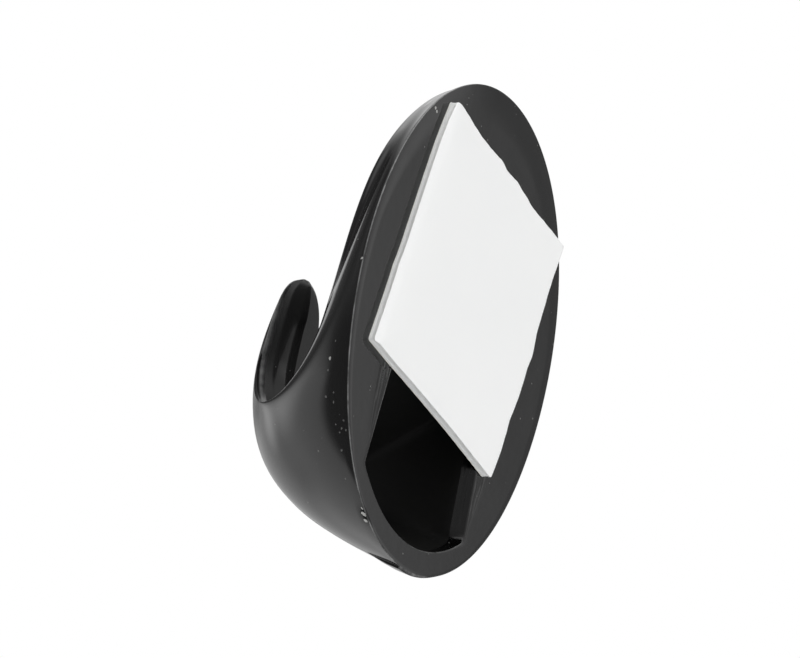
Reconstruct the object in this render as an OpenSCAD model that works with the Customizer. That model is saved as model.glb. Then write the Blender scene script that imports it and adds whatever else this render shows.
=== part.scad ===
// Adhesive wall hook: one hollow moulded hook with a square of double-sided foam tape on its back.
// +Z is up and +Y points at the wall. The origin lies on the wall, behind the oval's widest line.

/* [Oval back] */
// Width of the oval back face
oval_w = 44.5; // [40:0.5:50]
// Height of the oval above its widest line
oval_top = 27.4; // [24:0.2:31]
// Height of the oval below its widest line
oval_low = 28.25; // [26:0.05:32]

/* [Plate] */
// Thickness of the plate at its top edge
plate_t = 3.6; // [3:0.1:4.4]
// Thickness of the plate at its shoulders, beside the widest line
shoulder_t = 5.4; // [4.6:0.1:6.4]
// Distance of the shoulders' poles inside the oval's sides
shoulder_in = 4.1; // [3:0.1:5.5]
// Distance of the top pole inside the top of the oval
top_in = 0.5; // [0.2:0.1:1.5]
// Length over which the top edge rounds into the front face
shoulder_round = 4.5; // [3:0.1:5.5]
// Length over which the edge runs straight forward at the top
rim_lead = 1.8; // [1.2:0.1:2.6]
// Further length of that straight run at the sides
side_lead = 0.9; // [0.4:0.1:1.6]

/* [Hook] */
// Distance of the hook's front from the back face
hook_depth = 22.1; // [20:0.1:25]
// Depth of the trough's poles below the widest line
trough_drop = 15.3; // [13.5:0.1:16.5]
// Width across the trough's poles
neck_w = 13.1; // [11.5:0.1:15]
// Width of the tongue at half its height
tongue_w = 11; // [9.5:0.1:13]
// Height of the tongue's tip pole above the widest line
tip_rise = 4.8; // [2:0.1:8]
// Length over which the front of the tongue bends into the belly
belly_swell = 20.1; // [18:0.1:22]
// Rounding of the edge between the inside of the hook and its outside
edge_round = 0.7; // [0.3:0.05:1.1]

/* [Rear hollow] */
// Width of the hollow at the back face, half way up
pocket_w = 23.2; // [20:0.2:25]
// How much wider the hollow is at its foot than at its top
pocket_taper = 3.4; // [0:0.1:4.4]
// Height of the rim left below the hollow
lip_h = 2.9; // [2.6:0.1:4.5]
// Depth of the hollow's top edge below the widest line
pocket_drop = 4.5; // [4:0.1:8]
// Depth of the hollow's innermost point below the widest line
apex_drop = 18; // [17.4:0.1:18.8]

/* [Foam tape] */
// Side of the square of tape
pad_w = 30; // [26:0.5:32]
// Extra width of the hand-cut tape at its foot
pad_flare = 0.5; // [0:0.1:1.5]
// Height of the tape's centre above the widest line
pad_rise = 4.2; // [2:0.1:6]
// Turn of the tape on the back face, in degrees
pad_turn = 8.8; // [0:0.1:12]
// Thickness of each adhesive film
film_t = 0.1; // [0.05:0.01:0.2]
// Thickness of the foam
foam_t = 0.8; // [0.6:0.05:2]
// Thickness of the release liner
liner_t = 0.1; // [0.08:0.01:0.2]

/* [Hidden] */

// Counts of steps: half way round, rim to crest, crest to mid-plane and mouth to end of the hollow
half_steps = 36;
skin_steps = 12;
face_steps = 5;
pocket_steps = 8;
loop_steps = 2 * half_steps;

// Shares of the hook's depth: trough poles, tongue edges, straight run of the underside and end of the hollow
trough_out_share = 0.71;
tongue_out_share = 0.914;
belly_lead_share = 0.815;
pocket_depth_share = 0.68;

// Places that follow from the sizes above
half_w = oval_w / 2;
shoulder_x = half_w - shoulder_in;
top_z = oval_top - top_in;
neck_x = neck_w / 2;
tongue_x = tongue_w / 2;
trough_out = trough_out_share * hook_depth;
tongue_out = tongue_out_share * hook_depth;
belly_lead = belly_lead_share * hook_depth;
pocket_depth = pocket_depth_share * hook_depth;
tongue_span = trough_drop + tip_rise;
tape_t = 2 * film_t + foam_t + liner_t;
back_y = -tape_t;
foam_back_y = back_y + film_t;
wall_film_back_y = foam_back_y + foam_t;
liner_back_y = wall_film_back_y + film_t;
pocket_low = oval_low - lip_h;
pocket_mid = (pocket_drop + pocket_low) / 2;
taper_share = pocket_taper / 2 / (pocket_low - pocket_drop);

// Fullness of the oval at its diagonals, over a true ellipse
fullness_share = 0.008;
// Inward slope of the edge at the top, and its growth towards the underside
rim_draft_share = 0.03;
belly_draft_share = 0.26;
// Rise of the front face at its widest and of the tongue's inner face, as a share of the half width there
plate_rise_share = 0.1;
tongue_rise_share = 0.23;
// How round that rise is: 1 is a dome and 0 is a roof with a straight ridge
plate_soft_share = 1;
tongue_soft_share = 0.3;
// Largest part of the half width that the edge rounding takes
edge_share = 0.3;
// Sharpness of the hollow's corners
corner_power = 28;
// First-power part of the hollow's floor and roof lines; the rest bends with the square of the depth
floor_straight_share = 0.62;
roof_straight_share = 0.4;

// Stretches of the half loop, from the top at 0 to the tip at 1, over which one rule passes into the next
side_shares = [0.25, 0.62];
belly_shares = [0.5, 1];
inside_shares = [0.45, 0.65];

// Poles of the crest on the plate: width share, thickness share and height share
plate_pole_shares = [[0, 0, 1], [0.71, 0, 0.79], [1.05, 0.23, 0.39], [1, 1, 0]];
// Pole between the shoulder and the trough: width, distance and depth shares
flank_pole_shares = [0.53, 0.425, 0.52];
// Poles of the crest on the tongue: width share, distance share and height share above the trough
tongue_pole_shares = [[0.44, 0.82, 0.23], [1, 1, 0.605]];
// Width and height shares of the last pole before the tip
tip_pole_shares = [0.82, 0.925];
// Directions in which the outside leaves the crest, on the plate and then from the shoulder to the tip
plate_way_shares = [[0, -0.25, 1], [0.34, -0.22, 0.735], [0.54, -0.2, 0.335]];
hook_way_shares = [
    [0.125, -0.075, 0],
    [0.17, -0.134, -0.082],
    [0.167, -0.084, -0.15],
    [0.107, -0.007, -0.28],
    [0.04, 0.057, -0.475],
    [0.015, 0.165, -0.752],
    [0, 0.295, -1]
];

// Blends
function mix(a, b, share) = a + (b - a) * share;
function eased(u, span) =
    let (t = min(1, max(0, (u - span[0]) / (span[1] - span[0]))))
    t * t * (3 - 2 * t);
function unit(v) = norm(v) > 0 ? v / norm(v) : v;

// Points in this file are [across, forward from the back face, up]; this turns them into the part's frame
function placed(p) = [p[0], back_y - p[1], p[2]];
function mirrored(p) = [-p[0], p[1], p[2]];

// Poles of the closed crest, from the top down one side to the tongue's tip, then back up the other
crest_half = concat(
    [for (s = plate_pole_shares) [s[0] * shoulder_x, mix(plate_t, shoulder_t, s[1]), s[2] * top_z]],
    [[
        mix(shoulder_x, neck_x, flank_pole_shares[0]),
        mix(shoulder_t, trough_out, flank_pole_shares[1]),
        -flank_pole_shares[2] * trough_drop
    ]],
    [[neck_x, trough_out, -trough_drop]],
    [for (s = tongue_pole_shares) [
        mix(neck_x, tongue_x, s[0]),
        mix(trough_out, tongue_out, s[1]),
        s[2] * tongue_span - trough_drop
    ]],
    [[tip_pole_shares[0] * tongue_x, tongue_out, tip_pole_shares[1] * tongue_span - trough_drop]],
    [[0, tongue_out, tip_rise]]
);
way_half = concat(
    [for (s = plate_way_shares) s * shoulder_round],
    [for (s = hook_way_shares) s * belly_swell]
);
last_pole = len(crest_half) - 1;
function both_sides(half) = concat(half, [for (i = [last_pole - 1:-1:1]) mirrored(half[i])]);
crest_poles = both_sides(crest_half);
way_poles = both_sides(way_half);

// Closed uniform cubic B-spline on such poles, and its rate of change
function spline_parts(w) = [
    pow(1 - w, 3) / 6,
    (3 * pow(w, 3) - 6 * w * w + 4) / 6,
    (-3 * pow(w, 3) + 3 * w * w + 3 * w + 1) / 6,
    pow(w, 3) / 6
];
function rate_parts(w) = [
    -pow(1 - w, 2) / 2,
    (3 * w * w - 4 * w) / 2,
    (-3 * w * w + 2 * w + 1) / 2,
    w * w / 2
];
function four_poles(poles, k) = [for (j = [0:3]) poles[(k - 1 + j + len(poles)) % len(poles)]];
function stretch(u) = min(floor(u * last_pole), last_pole - 1);
function on_loop(poles, u) = spline_parts(u * last_pole - stretch(u)) * four_poles(poles, stretch(u));
function loop_rate(poles, u) = rate_parts(u * last_pole - stretch(u)) * four_poles(poles, stretch(u));

// Edge of the oval back face
function rim(u) =
    let (
        a = 180 * u,
        full = 1 + fullness_share * pow(sin(2 * a), 2),
        height = cos(a) > 0 ? oval_top : oval_low
    )
    [half_w * sin(a) * full, 0, height * cos(a) * full];

// Outside of the hook, a cubic arc from the oval's edge to the crest
function lead(u) = rim_lead + side_lead * eased(u, side_shares) + belly_lead * eased(u, belly_shares);
function draft_share(u) = rim_draft_share + belly_draft_share * eased(u, belly_shares);
function skin(u, v) =
    let (
        start = rim(u),
        end = on_loop(crest_poles, u),
        start_handle = start + lead(u) * ([0, 1, 0] - draft_share(u) * unit(start)),
        end_handle = end + on_loop(way_poles, u)
    )
    pow(1 - v, 3) * start + 3 * v * pow(1 - v, 2) * start_handle
        + 3 * v * v * (1 - v) * end_handle + pow(v, 3) * end;

// Inside of the hook, from the crest on one side (across = 1) to the crest on the other (across = -1)
function face(u, across) =
    let (
        crest = on_loop(crest_poles, u),
        rate = loop_rate(crest_poles, u),
        out_way = unit([0, -rate[2], rate[1]]),
        inside = eased(u, inside_shares),
        rise = crest[0] * mix(plate_rise_share * crest[0] / shoulder_x, tongue_rise_share, inside),
        soft = mix(plate_soft_share, tongue_soft_share, inside),
        s = abs(across)
    )
    [crest[0] * across, crest[1], crest[2]] + out_way * rise * ((1 - soft) * (1 - s) + soft * (1 - s * s));

// Rounded edge at the crest: where it leaves the outside and where it reaches the inside
function edge_radius(u) = min(edge_round, edge_share * on_loop(crest_poles, u)[0]);
function skin_end(u) = 1 - edge_radius(u) / (3 * norm(on_loop(way_poles, u)));
function face_start(u) =
    let (half_width = on_loop(crest_poles, u)[0])
    half_width > 0 ? 1 - edge_radius(u) / half_width : 1;
function edge_middle(u) =
    (skin(u, skin_end(u)) + 2 * on_loop(crest_poles, u) + face(u, face_start(u))) / 4;

// Mouth of the rear hollow: a straight-sided opening whose foot follows the oval's edge
function mouth(u) =
    let (
        way = unit(rim(u) + [0, 0, pocket_mid]),
        to_side = max(0, abs(way[0]) + taper_share * way[2]) * 2 / pocket_w,
        to_top = max(way[2], 0) / (pocket_mid - pocket_drop),
        low_z = -pocket_mid - lip_h,
        a = pow(way[0] / half_w, 2) + pow(way[2] / oval_low, 2),
        b = low_z * way[2] / pow(oval_low, 2),
        c = pow(low_z / oval_low, 2) - 1,
        to_foot = way[2] < 0 ? a / (sqrt(b * b - a * c) - b) : 0,
        nearness = pow(to_side, corner_power) + pow(to_top, corner_power) + pow(to_foot, corner_power),
        reach = pow(nearness, -1 / corner_power)
    )
    [way[0] * reach, 0, way[2] * reach - pocket_mid];

// Wall of the hollow at a share of its depth: its floor and roof close on the innermost point
function bent(start, end, straight, t) = mix(start, end, straight * t + (1 - straight) * t * t);
function pocket(u, t) =
    let (
        at_mouth = mouth(u),
        height_share = (at_mouth[2] + pocket_low) / (pocket_low - pocket_drop),
        floor_z = bent(-pocket_low, -apex_drop, floor_straight_share, t),
        roof_z = bent(-pocket_drop, -apex_drop, roof_straight_share, t)
    )
    [at_mouth[0] * sqrt(1 - t * t), pocket_depth * t, mix(floor_z, roof_z, height_share)];

// One closed ring of points, made from a rule for the half loop
function half_share(j) = j <= half_steps ? j / half_steps : (loop_steps - j) / half_steps;
function side_of(p, j) = j <= half_steps ? p : mirrored(p);

// Rings from the end of the hollow to its mouth, over the oval's edge and up the outside to the crest
rings = concat(
    [for (i = [pocket_steps - 1:-1:0]) [for (j = [0:loop_steps - 1])
        side_of(pocket(half_share(j), sin(90 * i / pocket_steps)), j)]],
    [for (i = [0:skin_steps]) [for (j = [0:loop_steps - 1])
        side_of(skin(half_share(j), skin_end(half_share(j)) * i / skin_steps), j)]],
    [[for (j = [0:loop_steps - 1]) side_of(edge_middle(half_share(j)), j)]],
    [[for (j = [0:loop_steps - 1]) side_of(face(half_share(j), face_start(half_share(j))), j)]]
);
ring_points = [for (ring = rings) each ring];
row_steps = 2 * face_steps;
face_points = [for (i = [1:half_steps - 1]) for (k = [1:row_steps - 1])
    face(i / half_steps, face_start(i / half_steps) * (1 - k / face_steps))];
apex = [[0, pocket_depth, -apex_drop]];
hook_points = [for (p = concat(ring_points, apex, face_points)) placed(p)];

// Numbers of the points: on a ring, at the hollow's end and along the rows of the inside
last_ring = len(rings) - 1;
apex_number = len(ring_points);
function on_ring(r, j) = r * loop_steps + j % loop_steps;
function on_row(i, k) =
    k == 0 ? on_ring(last_ring, i)
    : k == row_steps ? on_ring(last_ring, loop_steps - i)
    : apex_number + 1 + (i - 1) * (row_steps - 1) + k - 1;
function two_triangles(a, b, c, d) = [[a, b, c], [a, c, d]];
hook_triangles = concat(
    [for (j = [0:loop_steps - 1]) [apex_number, on_ring(0, j + 1), on_ring(0, j)]],
    [for (r = [0:last_ring - 1]) for (j = [0:loop_steps - 1])
        each two_triangles(on_ring(r, j), on_ring(r, j + 1), on_ring(r + 1, j + 1), on_ring(r + 1, j))],
    [for (k = [0:row_steps - 1]) [on_ring(last_ring, 0), on_row(1, k), on_row(1, k + 1)]],
    [for (i = [1:half_steps - 2]) for (k = [0:row_steps - 1])
        each two_triangles(on_row(i, k), on_row(i + 1, k), on_row(i + 1, k + 1), on_row(i, k + 1))],
    [for (k = [0:row_steps - 1])
        [on_row(half_steps - 1, k), on_ring(last_ring, half_steps), on_row(half_steps - 1, k + 1)]]
);

// Hook: plate, trough, tongue and belly in one hollow moulding
module hook_body() {
    color([0.03, 0.03, 0.032])
        polyhedron(hook_points, hook_triangles);
}

// Outline of the square of tape, which was cut a little out of true
module tape_outline() {
    half = pad_w / 2;
    translate([0, pad_rise])
        rotate(pad_turn)
            polygon([
                [half, -half],
                [half, half],
                [-half, half],
                [-half - pad_flare, -half]
            ]);
}

// One flat layer of the tape, which reaches from its back towards the wall
module tape_layer(layer_back_y, thickness) {
    translate([0, layer_back_y + thickness, 0])
        rotate([90, 0, 0])
            linear_extrude(thickness)
                tape_outline();
}

// Adhesive film between the hook and the foam
module hook_side_adhesive() {
    color([0.86, 0.86, 0.82])
        tape_layer(back_y, film_t);
}

// White closed-cell foam
module foam_core() {
    color([0.93, 0.93, 0.92])
        tape_layer(foam_back_y, foam_t);
}

// Adhesive film that sticks to the wall
module wall_side_adhesive() {
    color([0.86, 0.86, 0.82])
        tape_layer(wall_film_back_y, film_t);
}

// Paper that covers the wall side until the hook is put up
module release_liner() {
    color([0.96, 0.96, 0.96])
        tape_layer(liner_back_y, liner_t);
}

hook_body();
hook_side_adhesive();
foam_core();
wall_side_adhesive();
release_liner();
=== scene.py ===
import bpy
import numpy as np
from mathutils import Matrix, Vector


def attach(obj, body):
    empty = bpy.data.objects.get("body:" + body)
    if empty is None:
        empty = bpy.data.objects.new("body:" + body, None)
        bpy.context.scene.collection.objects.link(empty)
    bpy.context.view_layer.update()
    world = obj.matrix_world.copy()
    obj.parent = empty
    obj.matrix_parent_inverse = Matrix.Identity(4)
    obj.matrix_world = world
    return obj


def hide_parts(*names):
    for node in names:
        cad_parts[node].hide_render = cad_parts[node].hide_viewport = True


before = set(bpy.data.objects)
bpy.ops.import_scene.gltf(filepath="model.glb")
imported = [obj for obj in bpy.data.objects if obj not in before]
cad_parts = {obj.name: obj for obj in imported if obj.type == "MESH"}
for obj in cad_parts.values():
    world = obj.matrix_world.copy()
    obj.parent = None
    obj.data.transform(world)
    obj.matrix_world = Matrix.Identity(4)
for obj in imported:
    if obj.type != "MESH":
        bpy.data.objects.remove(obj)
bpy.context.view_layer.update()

MM = 0.001
DEGREES = 180 / np.pi

# Sizes in millimetres, named as in the part's source; only the belly swells a little more here
OVAL_W, OVAL_TOP, OVAL_LOW = 44.5, 27.4, 28.25
PLATE_T, SHOULDER_T, SHOULDER_IN, TOP_IN = 3.6, 5.4, 4.1, 0.5
SHOULDER_ROUND, RIM_LEAD, SIDE_LEAD = 4.5, 1.8, 0.9
HOOK_DEPTH, TROUGH_DROP, NECK_W, TONGUE_W, TIP_RISE = 22.1, 15.3, 13.1, 11.0, 4.8
BELLY_SWELL = 20.9
POCKET_W, POCKET_TAPER, LIP_H, POCKET_DROP, APEX_DROP = 23.2, 3.4, 2.9, 4.5, 18.0
PAD_W, PAD_RISE, PAD_TURN = 30.0, 4.2, 8.8
FILM_T, FOAM_T, LINER_T = 0.1, 0.8, 0.1

# Shares of the hook's depth, as in the part's source
TROUGH_OUT_SHARE, TONGUE_OUT_SHARE = 0.71, 0.914
BELLY_LEAD_SHARE, POCKET_DEPTH_SHARE = 0.815, 0.68

# Shares of the shape's rules, as in the part's source
FULLNESS, RIM_DRAFT, BELLY_DRAFT = 0.008, 0.03, 0.26
PLATE_RISE, EDGE_SHARE = 0.1, 0.3
FLOOR_STRAIGHT, ROOF_STRAIGHT = 0.62, 0.4
SIDE_SPAN, BELLY_SPAN, INSIDE_SPAN = (0.25, 0.62), (0.5, 1.0), (0.45, 0.65)

# Poles of the crest from the top to the tongue's tip, as shares of the sizes above.
# Beside the trough they differ a little from the part's source.
PLATE_POLES = ((0, 0, 1), (0.71, 0, 0.79), (1.05, 0.23, 0.39), (1, 1, 0))
FLANK_POLE = (0.53, 0.425, 0.52)
TROUGH_POLE_DROP = 1.035
TONGUE_POLES = ((0.44, 0.91, 0.24), (1, 1, 0.605))
TIP_POLE = (0.82, 0.925)
# Ways in which the outside leaves the crest at those poles, as shares of its roundings
SHOULDER_WAYS = ((0, -0.25, 1), (0.34, -0.22, 0.735), (0.54, -0.2, 0.335))
BELLY_WAYS = (
    (0.125, -0.075, 0), (0.16, -0.115, -0.115), (0.15, -0.065, -0.19), (0.107, -0.007, -0.28),
    (0.04, 0.057, -0.475), (0.015, 0.165, -0.752), (0, 0.295, -1))

# Places that follow from the sizes
HALF_W = OVAL_W / 2
SHOULDER_X, TOP_Z = HALF_W - SHOULDER_IN, OVAL_TOP - TOP_IN
NECK_X, TONGUE_X = NECK_W / 2, TONGUE_W / 2
TROUGH_OUT, TONGUE_OUT = TROUGH_OUT_SHARE * HOOK_DEPTH, TONGUE_OUT_SHARE * HOOK_DEPTH
BELLY_LEAD, POCKET_DEPTH = BELLY_LEAD_SHARE * HOOK_DEPTH, POCKET_DEPTH_SHARE * HOOK_DEPTH
TONGUE_SPAN = TROUGH_DROP + TIP_RISE
BACK_Y = -(2 * FILM_T + FOAM_T + LINER_T)
POCKET_LOW = OVAL_LOW - LIP_H
POCKET_MID = (POCKET_DROP + POCKET_LOW) / 2
TAPER = POCKET_TAPER / 2 / (POCKET_LOW - POCKET_DROP)

# The rest of this block is form that only the looks have, in millimetres unless it is a share.
# Rounded edges, and how much more the plate's top edge slopes in
RIM_ROUND, EDGE_ROUND, MOUTH_ROUND = 0.16, 0.35, 0.16
TOP_SLOPE, TOP_SPAN = 0.3, (0.13, 0.25)
# Slopes across the inside of the tongue, and where they change from its ridge (0) to its edge (1)
SIDE_SLOPE, MIDDLE_SLOPE, FLUTE_SLOPE, RIDGE_SLOPE, LIP_SLOPE = 0.06, 0.19, 0.05, 0.25, 0.5
MIDDLE_END, FLUTE_START, RIDGE_END, LIP_START = (0.54, 0.66), (0.1, 0.2), (0.08, 0.2), (0.84, 1)
# The end of the flute at some heights, and how softly it ends
FLUTE_Z, FLUTE_END = (-9, -6.1, -3.75, -1.4, -0.2, 1), (0.58, 0.53, 0.44, 0.35, 0.2, 0.1)
FLUTE_SOFT, SLOPE_STEPS = 0.1, 201
# Low hump on the tongue's tip, and where it rises and ends: forward, up and across to the far side
TIP_HUMP = 0.26
HUMP_FORWARD, HUMP_UP, HUMP_START, HUMP_END = (14, 18), (1, 4), (-2.2, -0.4), (1, 4.5)
# Seam of the mould: a fine ridge, and a step at the heel where the far half stands proud
SEAM_HEIGHT, SEAM_W, SEAM_FAINT, SEAM_CLEAR = 0.04, 0.09, 0.5, (8, 14)
SEAM_STEP, STEP_START, STEP_END = 0.3, (-0.05, 0.05), (2, 9)
HEEL_FORWARD, HEEL_DOWN, TO_WALL = (2, 4.5), (20, 24), (0.1, 0.6)
# Chip in the rim low on the near side
CHIP_AT, CHIP_DEPTH, CHIP_W = (9.1, 0.4, -25.9), 0.16, 0.9
# Lead-in of the hollow's side walls, with faint waves, and the sharpness of the hollow's corners
LEAD_IN, LEAD_DEPTH, SIDE_FACING = 0.65, 1.7, (0.5, 0.97)
WAVE_HEIGHT, WAVE_TURNS, WAVE_BEND, WAVE_RATE, WAVE_START = 0.014, 2.2, 0.1, 0.7, (0.6, 3)
MOUTH_POWER, INNER_POWER, INNER_START = 80, 14, (0.1, 0.5)
# Sunken stretch beside the mouth: depth, width, fan, least width and largest share of the back face
SUNK_DEPTH, SUNK_W, SUNK_FAN, SUNK_LEAST, SUNK_SHARE = 0.12, 3.2, 0.28, 0.4, 0.6
# Its ripples: height, turns, bend and start of each; then the size and rate of the bends
RIPPLES = ((0.018, 2.6, 1, 0), (0.010, 4.3, -1, 1.1))
RIPPLE_BENDS = ((0.12, 0.5), (0.05, 1.3))
RIPPLE_START, RIPPLE_END = (0, 0.12), (0.7, 1)
# Counts of rows of the hook's mesh
HOLLOW_ROWS, LEAD_ROWS, MOUTH_ROWS, SUNK_ROWS, BACK_ROWS = 22, 16, 4, 24, 7
RIM_ROWS, SKIN_ROWS, EDGE_ROWS, FACE_ROWS, HALF_STEPS = 4, 40, 6, 27, 180
# Rows beside the mid-plane: where they start, at most what share of the width, and their places
SEAM_NEAR, SEAM_NEAR_SHARE, SEAM_ROWS = 0.3, 0.3, (0.66, 0.4, 0.2, 0)
# How strongly the rows over the mouth, the rim, the crest and the inside's edge are worn and carry
# a painted highlight
MOUTH_WEAR_AND_HIGHLIGHT, FAR_MOUTH_LESS, FAR_MOUTH = (0.2, 0.6, 0.5, 0), 0.85, (6, 11)
RIM_WEAR_AND_HIGHLIGHT, CREST_WEAR_AND_HIGHLIGHT = (0.5, 1, 0.8, 0), (0, 0.5, 1, 1, 1, 1, 0.8, 0.5)
INSIDE_WEAR_AND_HIGHLIGHT = (0.3, 0.18, 0.08)
# Stretches of the half loop where the crest is worn and carries a painted highlight, and where the
# inside is satin
WEAR_AND_HIGHLIGHT_START, WEAR_AND_HIGHLIGHT_END, WEAR_AND_HIGHLIGHT_LESS, SATIN_START = (0.36, 0.46), (0.8, 0.92), 0.75, (0.6, 0.7)

FORWARD, MIRROR = np.array([0, 1, 0]), np.array([-1, 1, 1])
TO_MID = np.array([0, 0, POCKET_MID])


def mix(a, b, share):
    return a + (b - a) * share


def eased(u, span):
    t = np.clip((u - span[0]) / (span[1] - span[0]), 0, 1)
    return t * t * (3 - 2 * t)


def unit(v):
    length = np.linalg.norm(v, axis=-1, keepdims=True)
    return v / np.where(length > 0, length, 1)


def both_sides(half):
    """A closed loop from its near half, which runs from mid-plane to mid-plane."""
    return np.vstack([half, half[-2:0:-1] * MIRROR])


crest_half = np.array(
    [[x * SHOULDER_X, mix(PLATE_T, SHOULDER_T, f), z * TOP_Z] for x, f, z in PLATE_POLES]
    + [[mix(SHOULDER_X, NECK_X, FLANK_POLE[0]), mix(SHOULDER_T, TROUGH_OUT, FLANK_POLE[1]),
        -FLANK_POLE[2] * TROUGH_DROP]]
    + [[NECK_X, TROUGH_OUT, -TROUGH_POLE_DROP * TROUGH_DROP]]
    + [[mix(NECK_X, TONGUE_X, x), mix(TROUGH_OUT, TONGUE_OUT, f), z * TONGUE_SPAN - TROUGH_DROP]
       for x, f, z in TONGUE_POLES]
    + [[TIP_POLE[0] * TONGUE_X, TONGUE_OUT, TIP_POLE[1] * TONGUE_SPAN - TROUGH_DROP]]
    + [[0, TONGUE_OUT, TIP_RISE]])
way_half = np.vstack([SHOULDER_ROUND * np.array(SHOULDER_WAYS), BELLY_SWELL * np.array(BELLY_WAYS)])
crest_poles, way_poles = both_sides(crest_half), both_sides(way_half)
LAST_POLE = len(crest_half) - 1


def blended(poles, u, parts):
    k = np.minimum(np.floor(u * LAST_POLE).astype(int), LAST_POLE - 1)
    w = (u * LAST_POLE - k)[..., None]
    return sum(part * poles[(k - 1 + j) % len(poles)] for j, part in enumerate(parts(w)))


def on_loop(poles, u):
    return blended(poles, u, lambda w: (
        (1 - w) ** 3 / 6, (3 * w ** 3 - 6 * w * w + 4) / 6,
        (-3 * w ** 3 + 3 * w * w + 3 * w + 1) / 6, w ** 3 / 6))


def loop_rate(poles, u):
    return blended(poles, u, lambda w: (
        -(1 - w) ** 2 / 2, (3 * w * w - 4 * w) / 2, (-3 * w * w + 2 * w + 1) / 2, w * w / 2))


def rim(u):
    a = np.pi * u
    full = 1 + FULLNESS * np.sin(2 * a) ** 2
    height = np.where(np.cos(a) > 0, OVAL_TOP, OVAL_LOW)
    return np.stack([HALF_W * np.sin(a) * full, 0 * a, height * np.cos(a) * full], -1)


def lead(u):
    return RIM_LEAD + SIDE_LEAD * eased(u, SIDE_SPAN) + BELLY_LEAD * eased(u, BELLY_SPAN)


def skin(u, v):
    """The outside, from the oval's edge at v = 0 to the crest at v = 1."""
    start, end = rim(u), on_loop(crest_poles, u)
    draft = (RIM_DRAFT + BELLY_DRAFT * eased(u, BELLY_SPAN))[..., None]
    start_handle = start + lead(u)[..., None] * (FORWARD - draft * unit(start))
    at_top = 1 - eased(u, TOP_SPAN)[..., None]
    start_handle -= TOP_SLOPE * at_top * lead(u)[..., None] * unit(start)
    end_handle = end + on_loop(way_poles, u) * (1 - TOP_SLOPE * at_top)
    v = np.asarray(v)[..., None]
    return ((1 - v) ** 3 * start + 3 * v * (1 - v) ** 2 * start_handle
            + 3 * v * v * (1 - v) * end_handle + v ** 3 * end)


def tongue_rise(z, across):
    """Rise of the tongue's inside over its edges, as a share of its half width.

    The near half has shallow flutes beside a ridge, and the far half slopes evenly.
    """
    s = np.linspace(0, 1, SLOPE_STEPS)
    flute = np.interp(z, FLUTE_Z, FLUTE_END)[:, None]
    steep = SIDE_SLOPE + MIDDLE_SLOPE * (1 - eased(s, MIDDLE_END))
    in_flute = np.clip((flute + FLUTE_SOFT / 2 - s) / FLUTE_SOFT, 0, 1) * eased(s, FLUTE_START)
    steep = mix(steep, FLUTE_SLOPE, in_flute)
    steep = steep + RIDGE_SLOPE * (1 - eased(s, RIDGE_END)) + LIP_SLOPE * eased(s, LIP_START) ** 2
    total = np.cumsum(steep[:, ::-1], 1)[:, ::-1] / len(s)
    near = np.array([np.interp(a, s, row) for a, row in zip(np.abs(across), total)])
    return np.where(across > 0, near, total[:, 0] * (1 - np.abs(across)))


def face(u, across):
    """The inside of the hook, at a share of the half width across."""
    crest, rate = on_loop(crest_poles, u), loop_rate(crest_poles, u)
    out_way = unit(np.stack([0 * u, -rate[..., 2], rate[..., 1]], -1))
    inside = eased(u, INSIDE_SPAN)
    plate = PLATE_RISE * crest[..., 0] / SHOULDER_X * (1 - across * across)
    rise = crest[..., 0] * mix(plate, tongue_rise(crest[..., 2], across), inside)
    row = np.stack([crest[..., 0] * across, crest[..., 1], crest[..., 2]], -1)
    return row + out_way * rise[..., None]


def mouth(u, power=MOUTH_POWER):
    """The outline of the hollow in the back face."""
    way = unit(rim(u) + TO_MID)
    to_side = np.maximum(0, np.abs(way[:, 0]) + TAPER * way[:, 2]) * 2 / POCKET_W
    to_top = np.maximum(way[:, 2], 0) / (POCKET_MID - POCKET_DROP)
    low_z = -POCKET_MID - LIP_H
    a = (way[:, 0] / HALF_W) ** 2 + (way[:, 2] / OVAL_LOW) ** 2
    b = low_z * way[:, 2] / OVAL_LOW ** 2
    c = (low_z / OVAL_LOW) ** 2 - 1
    to_foot = np.where(way[:, 2] < 0, a / (np.sqrt(b * b - a * c) - b), 0)
    reach = (to_side ** power + to_top ** power + to_foot ** power) ** (-1 / power)
    return np.stack([way[:, 0] * reach, 0 * reach, way[:, 2] * reach - POCKET_MID], -1)


def bent(start, end, straight, t):
    return mix(start, end, straight * t + (1 - straight) * t * t)


def pocket(u, t):
    """The hollow's wall, from the mouth at t = 0 to its end at t = 1."""
    at = mix(mouth(u), mouth(u, INNER_POWER), eased(t, INNER_START))
    height = (at[:, 2] + POCKET_LOW) / (POCKET_LOW - POCKET_DROP)
    floor_z = bent(-POCKET_LOW, -APEX_DROP, FLOOR_STRAIGHT, t)
    roof_z = bent(-POCKET_DROP, -APEX_DROP, ROOF_STRAIGHT, t)
    across = at[:, 0] * np.sqrt(max(1 - t * t, 0))
    return np.stack([across, POCKET_DEPTH * t + 0 * u, mix(floor_z, roof_z, height)], -1)


def arc(a, corner, b, count):
    """Points of a rounded corner after a and up to b."""
    return [(1 - t) ** 2 * a + 2 * t * (1 - t) * corner + t * t * b
            for t in np.linspace(0, 1, count + 1)[1:]]


def placed(points):
    """Points given as across, forward and up in millimetres, in the frame's metres."""
    return np.stack([points[..., 0], BACK_Y - points[..., 1], points[..., 2]], -1) * MM


def new_object(name, points, faces, smooth=True):
    mesh = bpy.data.meshes.new(name)
    mesh.from_pydata([tuple(p) for p in points], [], [tuple(int(i) for i in f) for f in faces])
    mesh.validate()
    mesh.update()
    mesh.polygons.foreach_set("use_smooth", [smooth] * len(mesh.polygons))
    obj = bpy.data.objects.new(name, mesh)
    bpy.context.scene.collection.objects.link(obj)
    return obj


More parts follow.
